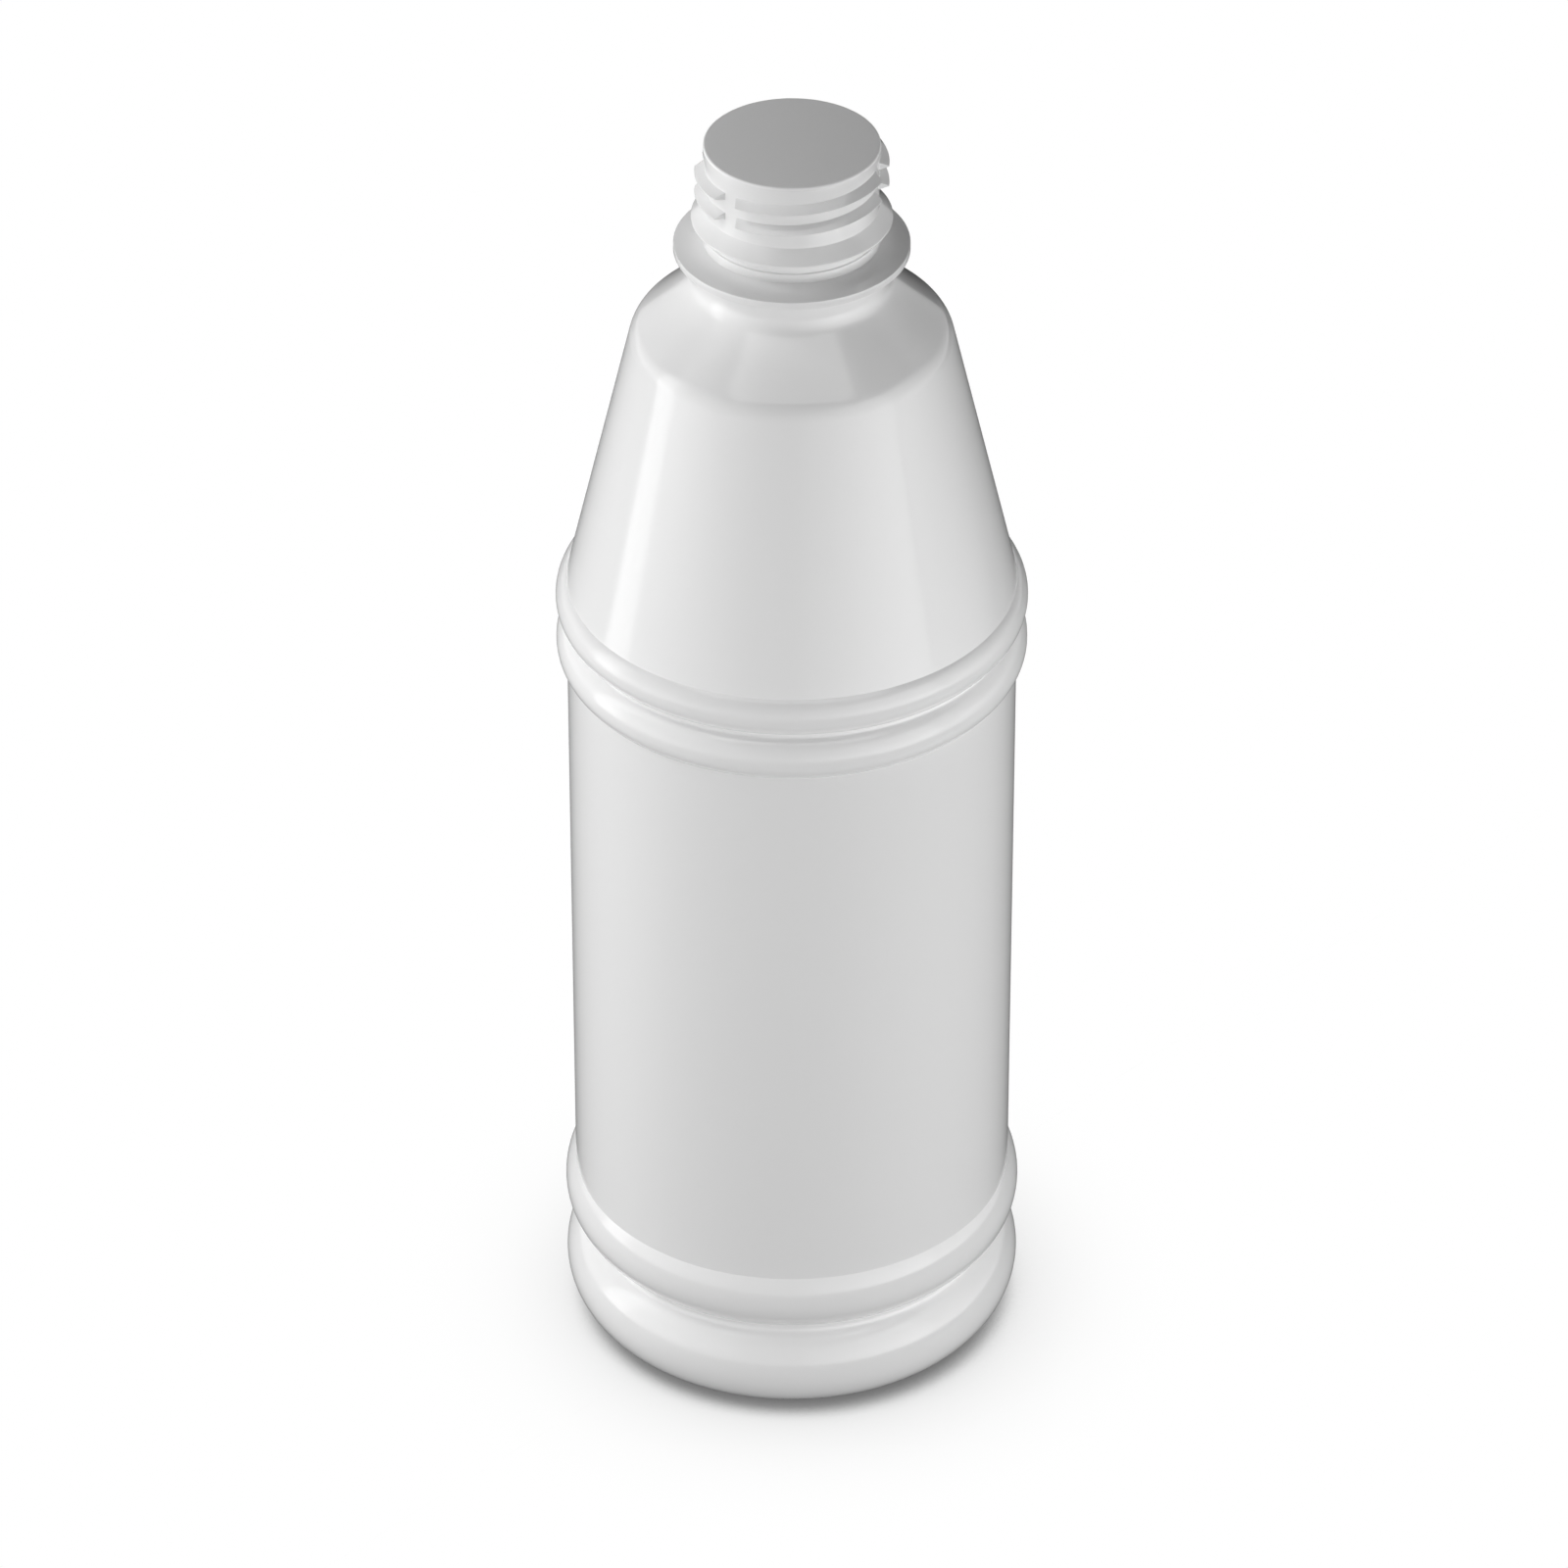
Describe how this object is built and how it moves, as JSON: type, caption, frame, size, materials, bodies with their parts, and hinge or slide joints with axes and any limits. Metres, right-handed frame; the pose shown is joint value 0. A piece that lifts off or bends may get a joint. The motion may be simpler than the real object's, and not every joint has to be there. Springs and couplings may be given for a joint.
{
  "type": "screw neck bottle",
  "caption": "Round white blow-moulded bottle with a beaded body, a long straight cone, a support ring and a vented screw neck closed by a bonded membrane",
  "frame": {"origin": "middle of the standing ring, on the surface the bottle stands on", "axes": "+Z is the bottle's axis, up; the start of the thread fixes the turn about it, with -Y as the front seen in the picture"},
  "size_m": [0.0674, 0.0674, 0.1989],
  "materials": {
    "bottle_plastic": "glossy opaque white, as blown",
    "seal_liner": "matt white coated membrane"
  },
  "bodies": {
    "root": {"bottle": "bottle_plastic", "mouth_seal": "seal_liner"}
  },
  "joints": []
}
